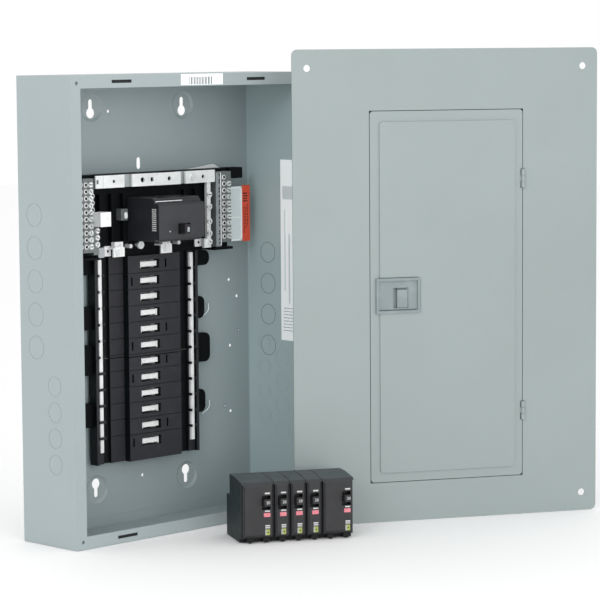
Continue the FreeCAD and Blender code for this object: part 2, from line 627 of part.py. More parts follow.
def interior_trim():
    """Insulator, barrier, tag and labels."""
    height = ("insulator_low", "insulator_top")
    depth = ("neutral_back + 0.4", "pan_front")
    sheet_bar = block(("-support_out - 1", "support_out + 1"), depth, height)
    end_height = ("insulator_top - 12.5", "insulator_top + 0.5")
    end_block = block(("support_out + 1", 144), (18, "pan_front - 4"), end_height)
    keep(join([sheet_bar, end_block]), "top_insulator_bar")
    keep(block(("support_out", 147), ("neutral_back", "neutral_back + 1.6"), (327, 393)), "side_barrier")
    keep(block((147, 160), ("neutral_back", "neutral_back + 0.8"), (326, 394)), "barrier_tag")
    inner = HALF + " - gauge"
    label = block((inner + " - 0.2", inner), (-45, -11.5), (205, 425))
    keep(label, "wiring_label")
    film = (FRONT + " - 0.15", FRONT)
    keep(block((-15, 51), film, ("box_height - 13", "box_height - 0.4")), "flange_label")


# ----------------------------------------------------------------------------- cover and door

COVER = turned(value("cover_x"), value("cover_y"), value("cover_yaw"))
HINGES = ("hinge_high", "hinge_lower")


def cover_trim():
    """The flat trim plate with its door opening, screw holes and hinge notches."""
    plate = block((0, "cover_width"), (0, "cover_gauge"), (0, "cover_height"))
    plate = rounded(plate, "corner_radius", "y")
    through = (-1, "cover_gauge + 1")
    opening = block(("door_left - door_gap", "door_right + door_gap"), (-1, "cover_gauge + 1"),
                    ("door_low - door_gap", "door_top + door_gap"))
    cuts = [opening]
    for x in ("(cover_width - cover_hole_pitch_x) / 2", "(cover_width + cover_hole_pitch_x) / 2"):
        for z in ("(cover_height - cover_hole_pitch_z) / 2", "(cover_height + cover_hole_pitch_z) / 2"):
            cuts.append(rod("y", (x, z), "trim_hole_radius", through))
    for low in HINGES:
        span = (low + " - knuckle_gap", low + " + hinge_length + knuckle_gap")
        cuts.append(block(("door_right", "hinge_x + knuckle_radius + 0.6"), through, span))
    keep(carve(plate, cuts), "cover_trim", COVER)


def deadfront_pan():
    """The shallow pan behind the door: a window for the main handle, scored twist-outs."""
    outer_x = ("door_left - 8", "door_right + 8")
    outer_z = ("door_low - 8", "door_top + 8")
    floor = ("cover_gauge + pan_depth - door_gauge", "cover_gauge + pan_depth")
    tub = block(outer_x, ("cover_gauge", "cover_gauge + pan_depth"), outer_z)
    hollow = block(("door_left - 8 + door_gauge", "door_right + 8 - door_gauge"),
                   ("cover_gauge - 1", floor[0]),
                   ("door_low - 8 + door_gauge", "door_top + 8 - door_gauge"))
    brim = block(("door_left - 20", "door_right + 20"), ("cover_gauge", "cover_gauge + door_gauge"),
                 ("door_low - 20", "door_top + 20"))
    gate = block(outer_x, (0, "cover_gauge + door_gauge + 1"), outer_z)
    shell = join([carve(tub, [hollow]), carve(brim, [gate])])
    middle = "cover_width / 2"
    lift = "(cover_height - box_height) / 2"
    window = block((middle + " + main_handle_x - 16", middle + " + main_handle_x + 16"),
                   (0, "cover_gauge + pan_depth + 1"),
                   ("%s + main_handle_z - 11" % lift, "%s + main_handle_z + 11" % lift))
    scores = []
    for index in range(ROWS):
        z = "%s + %s" % (lift, stab_height(index))
        for near, far in ((middle + " - 70", middle + " - 24"), (middle + " + 24", middle + " + 70")):
            face = (floor[0] + " - 1", floor[0] + " + groove_depth")
            patch = block((near, far), face, (z + " - 8.4", z + " + 8.4"))
            middle_part = block((near + " + groove_width", far + " - groove_width"), face,
                                (z + " - 8.4 + groove_width", z + " + 8.4 - groove_width"))
            scores.append(carve(patch, [middle_part]))
    keep(carve(shell, [window] + scores), "deadfront_pan", COVER)


def knuckle(span, leaf, bore):
    """A rolled knuckle with the flat leaf that fastens it."""
    barrel = rod("z", ("hinge_x", "hinge_y"), "knuckle_radius", span)
    plate = block(leaf, (0, "door_gauge"), span)
    hole = rod("z", ("hinge_x", "hinge_y"), bore, (span[0] + " - 1", span[1] + " + 1"))
    return carve(join([barrel, plate]), [hole])


def hinges():
    """Two three-knuckle hinges: outer knuckles on the trim, the middle one on the door."""
    outer, inner, pins = [], [], []
    for low in HINGES:
        lower_end = low + " + hinge_length / 3"
        upper_end = low + " + 2 * hinge_length / 3"
        top = low + " + hinge_length"
        leaf = ("hinge_x + 1.2", "hinge_x + knuckle_radius + 0.6")
        outer.append(knuckle((low, lower_end), leaf, "hinge_pin"))
        outer.append(knuckle((upper_end, top), leaf, "hinge_pin"))
        middle = (lower_end + " + knuckle_gap", upper_end + " - knuckle_gap")
        inner.append(knuckle(middle, ("hinge_x - knuckle_radius - 0.6", "hinge_x - 1.2"), "hinge_bore"))
        pins.append(rod("z", ("hinge_x", "hinge_y"), "hinge_pin", (low, top)))
    keep(group(outer), "cover_hinge_knuckles", COVER)
    keep(group(inner), "door_hinge_knuckles", COVER)
    keep(group(pins), "hinge_pins", COVER)


def door_panel():
    """The formed door: a flat border around a panel that is raised towards the front."""
    sheet_metal = block(("door_left", "door_right"), (0, "door_gauge"), ("door_low", "door_top"))
    border = rounded(sheet_metal, "door_corner", "y")
    raised = block(("panel_left", "panel_right"), ("-panel_rise", 0), ("panel_low", "panel_top"))
    pad = rounded(raised, "door_corner", "y")
    well = block(("panel_left + door_gauge", "panel_right - door_gauge"),
                 ("door_gauge - panel_rise", "door_gauge + 1"),
                 ("panel_low + door_gauge", "panel_top - door_gauge"))
    seat = block(("latch_left", "latch_right"), ("latch_front", "latch_back"), ("latch_low", "latch_top"))
    cuts = [well, seat]
    for low in HINGES:
        span = (low + " - knuckle_gap", low + " + hinge_length + knuckle_gap")
        notch = ("hinge_x - knuckle_radius - 0.6", "door_right + 1")
        cuts.append(block(notch, (-1, "door_gauge + 1"), span))
    keep(carve(join([border, pad]), cuts), "door_panel", COVER)
    inner_face = "door_gauge - panel_rise"
    card = block(("panel_left + 20", "panel_right - 20"), (inner_face, inner_face + " + 0.3"), (300, 460))
    keep(group([card]), "directory_card", COVER)


def latch():
    """The latch's dished housing, and the finger slide that runs in its window."""
    shell = block(("latch_left", "latch_right"), ("latch_front", "latch_back"), ("latch_low", "latch_top"))
    dish = block(("latch_left + latch_lip", "latch_right - latch_lip"),
                 ("latch_front - 1", "latch_front + latch_well"),
                 ("latch_low + latch_lip", "latch_top - latch_lip"))
    hole = ("window_left", "window_right")
    window = block(hole, ("latch_front", "latch_back - 1.2"), ("window_low", "window_top"))
    cavity = block(hole, ("latch_back - 3.6", "latch_back - 1.2"), ("window_low - 2", "window_top + 2"))
    keep(carve(shell, [dish, window, cavity]), "latch_housing", COVER)
    floor = "latch_back - 1.2 - slide_gap"
    across = ("button_left", "window_right - slide_gap")
    slide = block(across, ("latch_front + latch_well + 0.8", floor),
                  ("window_low + slide_gap", "window_top - slide_gap"))
    flange = block(across, ("latch_back - 3.6 + slide_gap", floor),
                   ("window_low - 2 + slide_gap", "window_top + 2 - slide_gap"))
    keep(join([slide, flange]), "latch_slide", COVER)


# ---------------------------------------------------------------------------- branch breakers

def breaker_case(width, poles, handle_x):
    """One moulded case: stepped back, sloped shoulder, finger pocket and rounded feet."""
    corners = [
        ("foot_depth", 0), ("case_depth", 0), ("case_depth", "step_height"),
        ("case_top_depth", "step_height"), ("case_top_depth", "case_height"), ("crown_back", "case_height"),
        ("nose_rise", "crown_front"), (0, "nose_high"), (0, "nose_low"),
        ("front_lift", "front_lift"), ("foot_depth", "front_lift"),
    ]
    case = outline_pad(corners, width)
    feet, cuts = [], []
    for pole in range(poles):
        x = "%d * pole_pitch + pole_width / 2" % pole
        feet.append(rod("y", (x + " + 1", "foot_radius"), "foot_radius", (4, "foot_depth + 6")))
        cuts.append(block((x + " - 2.6", x + " + 2.6"), ("case_depth - 3", "case_depth + 1"), (6, 18)))
    for size, reach in (("front_groove", "groove_reach"), ("front_shoulder", "shoulder_reach")):
        for limits in ((-1, size), ("%s - %s" % (width, size), width + " + 1")):
            cuts.append(block(limits, (-1, reach), (6, "nose_high + 2")))
    pocket = (handle_x + " - pocket_half_x", handle_x + " + pocket_half_x")
    pocket_height = ("pivot_z - pocket_half_z", "pivot_z + pocket_half_z")
    cuts.append(block(pocket, (-1, "pocket_depth"), pocket_height))
    cuts.append(rod("x", ("pivot_y", "pivot_z"), "pivot_bore",
                    (handle_x + " - pin_reach - 0.2", handle_x + " + pin_reach + 0.2")))
    return carve(join([case] + feet), cuts)


def breaker_handle():
    """The toggle: a hub on two short pins and a lever that stands out of the front."""
    hub = ("-handle_half", "handle_half")
    return join([
        rod("x", (0, 0), "handle_hub", hub),
        rod("x", (0, 0), "pivot_pin", ("-pin_reach", "pin_reach")),
        block(hub, ("-handle_reach", 0), ("-handle_thick", "handle_thick")),
    ])


def breaker_terminals(poles):
    """The jaw that grips a stab, the neutral clip and the load screw of each pole."""
    metal = []
    for pole in range(poles):
        x = "%d * pole_pitch + pole_width / 2" % pole
        jaw = ("case_top_depth", "case_top_depth + 10")
        height = ("step_height + 4", "case_height - 5")
        grip = block((x + " - 3.8", x + " + 3.8"), jaw, height)
        mouth = block((x + " - stab_thick / 2", x + " + stab_thick / 2"),
                      ("case_top_depth + 1", "case_top_depth + 11"), ("step_height + 3", "case_height - 4"))
        metal.append(carve(grip, [mouth]))
        metal.append(block((x + " - 2.4", x + " + 2.4"), ("case_depth - 2.8", "case_depth - 1"), (7, 17)))
    return group(metal)


def branch_breakers():
    """The row of breakers, each with its own frame along the row."""
    frame = turned(value("row_x"), value("row_y"), value("row_yaw"))
    start = 0
    for number, poles in enumerate(POLES, start=1):
        width = "pole_width + %d * pole_pitch" % (poles - 1)
        handle_x = "pole_width / 2 + %d * pole_pitch" % (poles - 1)
        place = frame.multiply(Placement(Vector(start * value("pole_pitch"), 0, 0), Rotation()))
        name = "breaker_%d" % number
        keep(breaker_case(width, poles, handle_x), name + "_case", place)
        across = value("pole_width") / 2 + (poles - 1) * value("pole_pitch")
        pivot = Vector(across, value("pivot_y"), value("pivot_z"))
        toggle = place.multiply(Placement(pivot, Rotation(Vector(1, 0, 0), value("handle_tilt"))))
        keep(breaker_handle(), name + "_handle", toggle)
        keep(breaker_terminals(poles), name + "_terminals", place)
        start += poles


enclosure_wrap()
endwall("top_endwall", 1)
endwall("bottom_endwall", -1)
mounting_pan()
base_half("base_lower", "base_low", "base_split - split_gap / 2", range(6), range(5), True)
base_half("base_upper", "base_split + split_gap / 2", "base_top", range(6, ROWS), range(5, ROWS - 1), False)
side_tabs(((122, 150, "clip_reach"), ("tab_low", "tab_high", "tab_reach"), (236, 263, "clip_reach"),
           (300, 318, "tab_reach")))
bus_bar("bus_bar_a", -1, range(1, ROWS, 2))
bus_bar("bus_bar_b", 1, range(0, ROWS, 2))
neutral_rail("neutral_rail_left", -1)
neutral_rail("neutral_rail_right", 1)
upper_carrier()
neutral_support("neutral_support_left", -1)
neutral_support("neutral_support_right", 1)
neutral_assembly()
cross_strap()
main_breaker()
main_handle()
interior_trim()
cover_trim()
deadfront_pan()
hinges()
door_panel()
latch()
branch_breakers()

doc.recompute()
for item in doc.Objects:
    if "Invalid" in item.State or "Error" in item.State:
        raise RuntimeError("%s (%s) did not compute" % (item.Label, item.Name))
for item in parts:
    if item.Shape.isNull() or not item.Shape.isValid():
        raise RuntimeError("%s has no valid shape" % item.Label)
os.makedirs("parts", exist_ok=True)
for item in parts:
    item.Shape.exportStep("parts/%s.step" % item.Label)
print("%d sub-parts" % len(parts))
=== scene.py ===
import json
import math

import bmesh
import bpy
from mathutils import Matrix, Vector


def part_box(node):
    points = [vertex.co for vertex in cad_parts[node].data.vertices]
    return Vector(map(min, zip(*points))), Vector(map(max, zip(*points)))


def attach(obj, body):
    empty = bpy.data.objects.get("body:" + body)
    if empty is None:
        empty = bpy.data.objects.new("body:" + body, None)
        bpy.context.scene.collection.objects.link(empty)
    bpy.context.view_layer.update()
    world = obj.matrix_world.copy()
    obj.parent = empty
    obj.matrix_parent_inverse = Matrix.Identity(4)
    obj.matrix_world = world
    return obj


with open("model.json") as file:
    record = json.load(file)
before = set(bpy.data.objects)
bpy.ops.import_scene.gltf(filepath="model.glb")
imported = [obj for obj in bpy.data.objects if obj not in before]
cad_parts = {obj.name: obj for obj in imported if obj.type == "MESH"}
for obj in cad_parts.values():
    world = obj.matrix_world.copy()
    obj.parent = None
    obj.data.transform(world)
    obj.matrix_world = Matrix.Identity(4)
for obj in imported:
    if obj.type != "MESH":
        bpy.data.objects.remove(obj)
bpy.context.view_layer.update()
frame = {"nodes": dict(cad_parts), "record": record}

NODES = frame["nodes"]
MM = 0.001

# ------------------------------------------------------- sizes in millimetres, angles in degrees

# branch breakers: their front face and print are measured from the handle's pivot
BREAKERS = range(1, 6)
FACE = -6.0
PRINT_PROUD = 0.12
RATING = "20"
HANDLE_TILT = -5.0
HANDLE_FACE = -15.06

# main breaker
MAIN_TILT = 13.0
MAIN_LEVER_PROUD = 13.0
SIDE_TERMINAL = (-53.5, -43.5, 362, 375.5)
SIDE_TERMINAL_FACE = (-49, -44.4, 364, 371.5)

# neutral bars and base
TERMINAL_PITCH = 7.9
TERMINALS = 10
LINK_SCREWS = (386.5, 372, 354.5, 340, 330)
POLE_PITCH = 19.05
LOWEST_STAB = 98.6
POLE_LINES = 11
SHADE_LINE_HALF = 0.45

# enclosure's right wall, back wall and front flanges
RING_STEPS = 40
LOWEST_UPPER_KNOCKOUT = 197.0
UPPER_KNOCKOUT_PITCH = 38.0
UPPER_KNOCKOUTS = 4
UPPER_KNOCKOUT_DEPTH = 11.5
UPPER_KNOCKOUT_RADIUS = 12.6
RING_WIDTH = 0.5
WALL_PIPS = [(160, 215), (136, 123)]
FLANGE_MIDDLE = 7.15
FLANGE_SLOT_X = 105.0
FLANGE_SLOT_HALF_LENGTH = 15.5
FLANGE_SLOT_HALF_HEIGHT = 2.2

# latch's dish and directory card
LATCH_DISH = 2.2
CIRCUIT_ROWS = 12
RULE_HEIGHT = 0.9


# ---------------------------------------------------------------- frames taken from the joints

def joint(name):
    """The record's joint of that name."""
    return next(item for item in frame["record"]["behaviour"]["joints"] if item["name"] == name)


def frame_at(point, across):
    """A frame with its origin at a point, local X along a level direction and local Z up."""
    across = Vector(across).normalized()
    back = Vector((0, 0, 1)).cross(across)
    turn = Matrix((across, back, Vector((0, 0, 1)))).transposed().to_4x4()
    return Matrix.Translation(Vector(point)) @ turn


def breaker_frame(number):
    """A breaker's frame at its handle's pivot, in the row's direction."""
    hinge = joint("breaker_%d_handle_hinge" % number)
    return frame_at(hinge["pos_m"], [-value for value in hinge["axis"]])


COVER = frame_at(joint("door_hinge")["pos_m"], [-value for value in joint("latch_slide_joint")["axis"]])
WORLD = Matrix.Identity(4)


# ------------------------------------------------------------------------------- materials

class Shader:
    """A principled material whose colour, roughness and bump come from noise."""

    def __init__(self, name, colour, roughness, metallic=0.0, **inputs):
        self.material = bpy.data.materials.new(name)
        self.material.use_nodes = True
        self.nodes = self.material.node_tree.nodes
        self.links = self.material.node_tree.links
        self.shader = self.nodes["Principled BSDF"]
        self.shader.inputs["Metallic"].default_value = metallic
        self.shader.inputs["Roughness"].default_value = roughness
        for socket, number in inputs.items():
            self.shader.inputs[socket.replace("_", " ")].default_value = number
        self.place = self.nodes.new("ShaderNodeTexCoord").outputs["Object"]
        self.colour = self.plain(colour)
        self.height = None

    def plain(self, colour):
        """A constant colour as a node's output."""
        node = self.nodes.new("ShaderNodeRGB")
        node.outputs[0].default_value = (*colour, 1)
        return node.outputs[0]

    def noise(self, scale, detail=3.0, stretch=(1, 1, 1)):
        """Noise over the piece, with its scale in features per metre."""
        mapping = self.nodes.new("ShaderNodeMapping")
        mapping.inputs["Scale"].default_value = stretch
        self.links.new(self.place, mapping.inputs["Vector"])
        node = self.nodes.new("ShaderNodeTexNoise")
        node.inputs["Scale"].default_value = scale
        node.inputs["Detail"].default_value = detail
        self.links.new(mapping.outputs[0], node.inputs["Vector"])
        return node.outputs["Fac"]

    def axis(self, source, number):
        """One axis of a vector output."""
        node = self.nodes.new("ShaderNodeSeparateXYZ")
        self.links.new(source, node.inputs[0])
        return node.outputs[number]

    def math(self, operation, first, second):
        """Arithmetic on an output and a number or another output."""
        node = self.nodes.new("ShaderNodeMath")
        node.operation = operation
        self.links.new(first, node.inputs[0])
        if isinstance(second, (int, float)):
            node.inputs[1].default_value = second
        else:
            self.links.new(second, node.inputs[1])
        return node.outputs[0]

    def within(self, low, high):
        """1 between two corners, in metres, and 0 outside them."""
        mask = None
        for number in range(3):
            value = self.axis(self.place, number)
            for operation, limit in (("GREATER_THAN", low[number]), ("LESS_THAN", high[number])):
                side = self.math(operation, value, limit)
                mask = side if mask is None else self.math("MULTIPLY", mask, side)
        return mask

    def facing(self, direction, low, high):
        """Rises from 0 to 1 as the surface turns towards a direction."""
        geometry = self.nodes.new("ShaderNodeNewGeometry")
        node = self.nodes.new("ShaderNodeVectorMath")
        node.operation = "DOT_PRODUCT"
        self.links.new(geometry.outputs["Normal"], node.inputs[0])
        node.inputs[1].default_value = direction
        return self.ramp(node.outputs["Value"], low, high)

    def ramp(self, source, low, high):
        """A source stretched so that low becomes 0 and high becomes 1."""
        node = self.nodes.new("ShaderNodeMapRange")
        node.inputs["From Min"].default_value = low
        node.inputs["From Max"].default_value = high
        self.links.new(source, node.inputs["Value"])
        return node.outputs[0]

    def tint(self, mask, colour, amount=1.0, blend="MIX"):
        """Mixes a colour in, or multiplies by it, where the mask is high."""
        mix = self.nodes.new("ShaderNodeMix")
        mix.data_type = "RGBA"
        mix.blend_type = blend
        self.links.new(self.math("MULTIPLY", mask, amount), mix.inputs["Factor"])
        self.links.new(self.colour, mix.inputs["A"])
        mix.inputs["B"].default_value = (*colour, 1)
        self.colour = mix.outputs["Result"]
        return self

    def vary_roughness(self, mask, low, high):
        """Roughness that runs between two values with a mask."""
        node = self.nodes.new("ShaderNodeMapRange")
        node.inputs["To Min"].default_value = low
        node.inputs["To Max"].default_value = high
        self.links.new(mask, node.inputs["Value"])
        self.links.new(node.outputs[0], self.shader.inputs["Roughness"])
        return self

    def bump(self, mask, strength, distance):
        """Relief from a mask; several calls pile up."""
        node = self.nodes.new("ShaderNodeBump")
        node.inputs["Strength"].default_value = strength
        node.inputs["Distance"].default_value = distance
        self.links.new(mask, node.inputs["Height"])
        if self.height:
            self.links.new(self.height, node.inputs["Normal"])
        self.height = node.outputs["Normal"]
        return self

    def finish(self):
        """Joins the colour and the relief to the shader."""
        self.links.new(self.colour, self.shader.inputs["Base Color"])
        if self.height:
            self.links.new(self.height, self.shader.inputs["Normal"])
        return self.material


def grey(level):
    """A neutral colour of one level."""
    return (level, level, level)


def powder_coat(name, colour, hollow=None, far_wall=None):
    """Grey powder coat: fine orange peel, faint cloudiness, a soft gloss, painted shade in a hollow and
    painted light on a far wall.
    """
    paint = Shader(name, colour, 0.42, Specular_IOR_Level=0.4)
    # painted shade in the hollow and painted light on the far wall, multiplied into the paint's colour
    for space, shade in ((hollow, INSIDE_SHADE), (far_wall, FAR_WALL_PAINTED_LIGHT)):
        if space:
            paint.tint(paint.within(*space), shade, 1.0, "MULTIPLY")
    paint.tint(paint.ramp(paint.noise(9.0, 4.0), 0.35, 0.7), grey(0.95), 0.8, "MULTIPLY")
    paint.tint(paint.ramp(paint.noise(1500.0, 2.0), 0.55, 0.75), grey(1.08), 0.4, "MULTIPLY")
    paint.vary_roughness(paint.noise(60.0, 3.0), 0.36, 0.52)
    paint.bump(paint.noise(700.0, 2.0), 0.10, 0.0004)
    return paint.finish()


def moulded(name, colour, roughness, grain=0.16, sheen=0.25, side=None, top=None, deep=None, foot=None):
    """Moulded plastic: spark-eroded grain, rubbed patches, painted shade on a side, a painted highlight on
    the top, and painted shade in a recess and at the foot.
    """
    shell = Shader(name, colour, roughness, Specular_IOR_Level=sheen)
    if deep:
        shell.tint(shell.within(*behind(deep)), DEEP_SHADE, 1.0, "MULTIPLY")
    if foot:
        shell.tint(shell.within((-1, -1, -1), (1, 1, foot)), DEEP_SHADE, 1.0, "MULTIPLY")
    # painted shade on a side and a painted highlight on the top
    for face in (side, top):
        if face:
            shell.tint(shell.facing(face[0], 0.6, 0.9), face[1])
    rub = shell.ramp(shell.noise(55.0, 4.0), 0.5, 0.8)
    shell.tint(rub, grey(1.35), 0.6, "MULTIPLY")
    shell.vary_roughness(shell.noise(120.0, 3.0), roughness - 0.08, roughness + 0.12)
    shell.bump(shell.noise(2600.0, 2.0), grain, 0.0002)
    return shell.finish()


def behind(depth):
    """The space further back than a depth in metres."""
    return ((-1, depth, -1), (1, 1, 1))


def bare_metal(name, colour, roughness, streak, stretch, metallic=1.0, deep=None):
    """Plated metal: drawn or rolled streaks, a little uneven dulling and painted shade in recesses."""
    plate = Shader(name, colour, roughness, metallic=metallic)
    if deep:
        plate.tint(plate.within(*behind(deep)), RECESS_SHADE, 1.0, "MULTIPLY")
    lines = plate.noise(streak, 3.0, stretch)
    dull = plate.ramp(plate.noise(70.0, 4.0), 0.45, 0.75)
    plate.tint(dull, grey(0.78), 0.7, "MULTIPLY")
    plate.tint(plate.ramp(lines, 0.4, 0.7), grey(0.88), 0.6, "MULTIPLY")
    plate.vary_roughness(lines, roughness - 0.1, roughness + 0.15)
    plate.bump(lines, 0.12, 0.0002)
    return plate.finish()


def printed(name, colour, fleck, roughness=0.5, **inputs):
    """A printed film or paper: slight fibre and a faint mottle of the ink."""
    film = Shader(name, colour, roughness, Specular_IOR_Level=0.3, **inputs)
    film.tint(film.ramp(film.noise(260.0, 3.0), 0.45, 0.7), fleck, 0.5)
    film.vary_roughness(film.noise(300.0, 2.0), roughness - 0.08, roughness + 0.1)
    film.bump(film.noise(1800.0, 2.0), 0.06, 0.0001)
    return film.finish()


def hollow_of_box():
    """The space between the enclosure's inner faces, a little larger than the faces themselves."""
    low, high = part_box("enclosure_wrap")
    skin = 0.6 * MM
    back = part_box("top_endwall")[1][1] + skin
    return ((low[0] + skin, low[1] + skin, low[2] + skin), (high[0] - skin, back, high[2] - skin))


def right_inner_wall():
    """The space just inside the enclosure's right wall."""
    low, high = hollow_of_box()
    return ((high[0] - 3 * MM, low[1], low[2]), high)


# painted shade and painted light for the spaces and sides that get less light, or more, than the open
# surfaces
ROW_LEFT = joint("breaker_1_handle_hinge")["axis"]
LEFT_SIDE = (-1, 0, 0)
TOP_SIDE = (0, 0, 1)
# painted shade: the box's paint is darkened inside its hollow
INSIDE_SHADE = (0.95, 0.97, 0.98)
# painted light: the right inner wall's paint is made paler, as if more light reached it
FAR_WALL_PAINTED_LIGHT = (1.38, 1.44, 1.43)
# painted shade: darkens the base's channels and the breakers' feet
DEEP_SHADE = (0.10, 0.12, 0.13)
# painted shade: darkens the strap's recess
RECESS_SHADE = (0.45, 0.47, 0.48)
STRAP_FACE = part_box("neutral_cross_strap")[0][1]
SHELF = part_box("neutral_rail_left")[1][1]

# the box's paint carries painted shade inside the hollow and painted light on the right inner wall
PAINT = powder_coat("powder_coat_box", (0.335, 0.388, 0.396), hollow_of_box(), right_inner_wall())
COVER_PAINT = powder_coat("powder_coat_cover", (0.280, 0.327, 0.324))
LATCH = moulded("latch_moulded_grey", (0.222, 0.264, 0.268), 0.45, 0.1)
# painted shade on the base's left-facing faces and in its channels behind the shelf
BLACK = moulded("moulded_black", (0.027, 0.0275, 0.032), 0.46, side=(LEFT_SIDE, (0.003, 0.005, 0.006)),
                deep=SHELF + 1.5 * MM)
SOOT = moulded("moulded_carrier", (0.0035, 0.0042, 0.0050), 0.50, 0.12, 0.10)
# painted shade on the main breaker's left-facing faces
MAIN = moulded("moulded_main_case", (0.040, 0.043, 0.047), 0.48, side=(LEFT_SIDE, (0.017, 0.019, 0.023)))
# painted shade on the breakers' left-facing sides and at their feet, and a painted highlight on their tops
CASE = moulded("moulded_case", (0.033, 0.033, 0.035), 0.50, side=(ROW_LEFT, (0.009, 0.017, 0.019)),
               top=(TOP_SIDE, (0.070, 0.084, 0.088)), foot=6.5 * MM)
# painted shadow lines: the gaps round the latch, the knockout rings and the pips' rims
SHADOW_LINE = printed("painted_shadow_line", (0.085, 0.105, 0.110), (0.11, 0.13, 0.135))
HANDLE = moulded("moulded_handle", (0.018, 0.018, 0.020), 0.38, 0.1)
TIN = bare_metal("tin_plate", (0.93, 0.94, 0.94), 0.36, 180.0, (1, 1, 12), 0.15)
# painted shade in the strap's recess, behind its front face
STRAP = bare_metal("tin_plate_strap", (0.86, 0.88, 0.88), 0.36, 180.0, (1, 1, 12), 0.25,
                   STRAP_FACE + 5 * MM)
ZINC = bare_metal("zinc_plate", (0.55, 0.58, 0.60), 0.38, 160.0, (12, 1, 1))
PAN = bare_metal("galvanised_pan", (0.88, 0.90, 0.90), 0.45, 60.0, (1, 1, 1), 0.1)
# painted shade: the neutral bars' plated metal is darkened for the shade between their terminal heads
SHADED_BAR_METAL = bare_metal("neutral_bar_metal_painted_shade", (0.20, 0.22, 0.22), 0.42, 900.0, (1, 1, 1), 0.5)
SCREW = bare_metal("screw_zinc", (0.90, 0.92, 0.92), 0.30, 900.0, (1, 1, 1), 0.45)
SHEET = printed("grey_insulating_sheet", (0.74, 0.82, 0.83), (0.70, 0.78, 0.79), 0.55)
SHEET_EDGE = printed("sheet_edge", (0.93, 0.97, 0.97), (0.88, 0.92, 0.92), 0.55)
ORANGE = printed("orange_tag", (0.72, 0.085, 0.040), (0.78, 0.12, 0.06))
WHITE = printed("white_film", (0.93, 0.97, 0.98), (0.90, 0.94, 0.95))
# painted light: a faint glow makes this film brighter than its lighting allows
GLOWING_FILM = printed("glowing_film", (0.93, 0.97, 0.98), (0.90, 0.94, 0.95), Emission_Strength=0.15)
INK = printed("grey_ink", (0.30, 0.33, 0.35), (0.36, 0.39, 0.41))
FAINT_INK = printed("faint_ink", (0.50, 0.56, 0.58), (0.56, 0.61, 0.63))
PALE_INK = printed("pale_ink", (0.74, 0.80, 0.82), (0.80, 0.85, 0.87))
# dark ink for print, also laid as painted shade in holes, slots, grooves and behind the flange slots
DARK_INK_AND_SHADE = printed("dark_ink_and_painted_shade", (0.012, 0.012, 0.015), (0.03, 0.03, 0.035))
TAG_INK = printed("tag_ink", (0.16, 0.02, 0.012), (0.24, 0.03, 0.02))
MARK = printed("white_ink", (0.58, 0.59, 0.59), (0.46, 0.47, 0.47))
ROSE = printed("rose_ink", (0.66, 0.20, 0.24), (0.72, 0.30, 0.33))
LIME = printed("lime_sticker", (0.34, 0.38, 0.11), (0.27, 0.31, 0.08))
STICKER_GREY = printed("sticker_grey", (0.36, 0.39, 0.36), (0.30, 0.33, 0.30))


# ------------------------------------------------------------------------- finish of CAD nodes

def dress(material, names, edge=0.0, segments=2):
    """Gives CAD nodes their material and softens their edges with a bevel."""
    for name in names:
        node = NODES[name]
        node.data.materials.clear()
        node.data.materials.append(material)
        if edge:
            bevel = node.modifiers.new("soft_edges", "BEVEL")
            bevel.width = edge * MM
            bevel.segments = segments
            bevel.limit_method = "ANGLE"
            bevel.angle_limit = math.radians(40)
            bevel.harden_normals = False
            smooth = node.modifiers.new("even_normals", "WEIGHTED_NORMAL")
            smooth.keep_sharp = True


dress(PAINT, ["enclosure_wrap", "top_endwall", "bottom_endwall"], 0.35)
dress(COVER_PAINT, ["cover_trim", "door_panel", "deadfront_pan"], 0.3)
dress(COVER_PAINT, ["cover_hinge_knuckles", "door_hinge_knuckles"], 0.15)
dress(LATCH, ["latch_housing", "latch_slide"], 0.45)
dress(BLACK, ["base_lower", "base_upper"], 0.35)
dress(SOOT, ["upper_carrier", "neutral_support_left", "neutral_support_right", "top_insulator_bar"], 0.35)
dress(SOOT, ["side_tabs"], 1.2, 3)
dress(MAIN, ["main_breaker_case", "main_breaker_front"], 0.6)
dress(CASE, ["breaker_%d_case" % number for number in BREAKERS], 0.7, 3)
dress(HANDLE, ["breaker_%d_handle" % number for number in BREAKERS], 0.7, 3)
dress(HANDLE, ["main_breaker_handle"], 0.9, 3)
dress(TIN, ["bus_bar_a", "bus_bar_b", "neutral_rail_left", "neutral_rail_right", "load_straps",
            "main_line_lugs", "neutral_lug"], 0.3)
dress(STRAP, ["neutral_cross_strap"], 0.3)
dress(TIN, ["breaker_%d_terminals" % number for number in BREAKERS], 0.1)
dress(PAN, ["mounting_pan"], 0.2)
dress(ZINC, ["hinge_pins"], 0.2)
dress(SHADED_BAR_METAL, ["neutral_bar_left_outer", "neutral_bar_left_inner", "neutral_bar_right_inner",
            "neutral_bar_right_outer"], 0.25)
dress(SCREW, ["neutral_link_bar"], 0.25)
dress(SCREW, ["terminal_screws_left", "terminal_screws_right", "bonding_screw", "main_breaker_bolts"], 0.25)
dress(SHEET, ["side_barrier"], 0.2)
dress(ORANGE, ["barrier_tag"], 0.1)
dress(WHITE, ["flange_label", "directory_card"])
# the wiring label's film glows a little, as painted light
dress(GLOWING_FILM, ["wiring_label"])


# --------------------------------------------------------------------------- detail in mesh code

def mesh_piece(name, bm, material, body):
    """Makes a piece of a bmesh and lets it ride on a body."""
    data = bpy.data.meshes.new(name)
    bm.to_mesh(data)
    bm.free()
    data.materials.append(material)
    piece = bpy.data.objects.new(name, data)
    bpy.context.scene.collection.objects.link(piece)
    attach(piece, body)


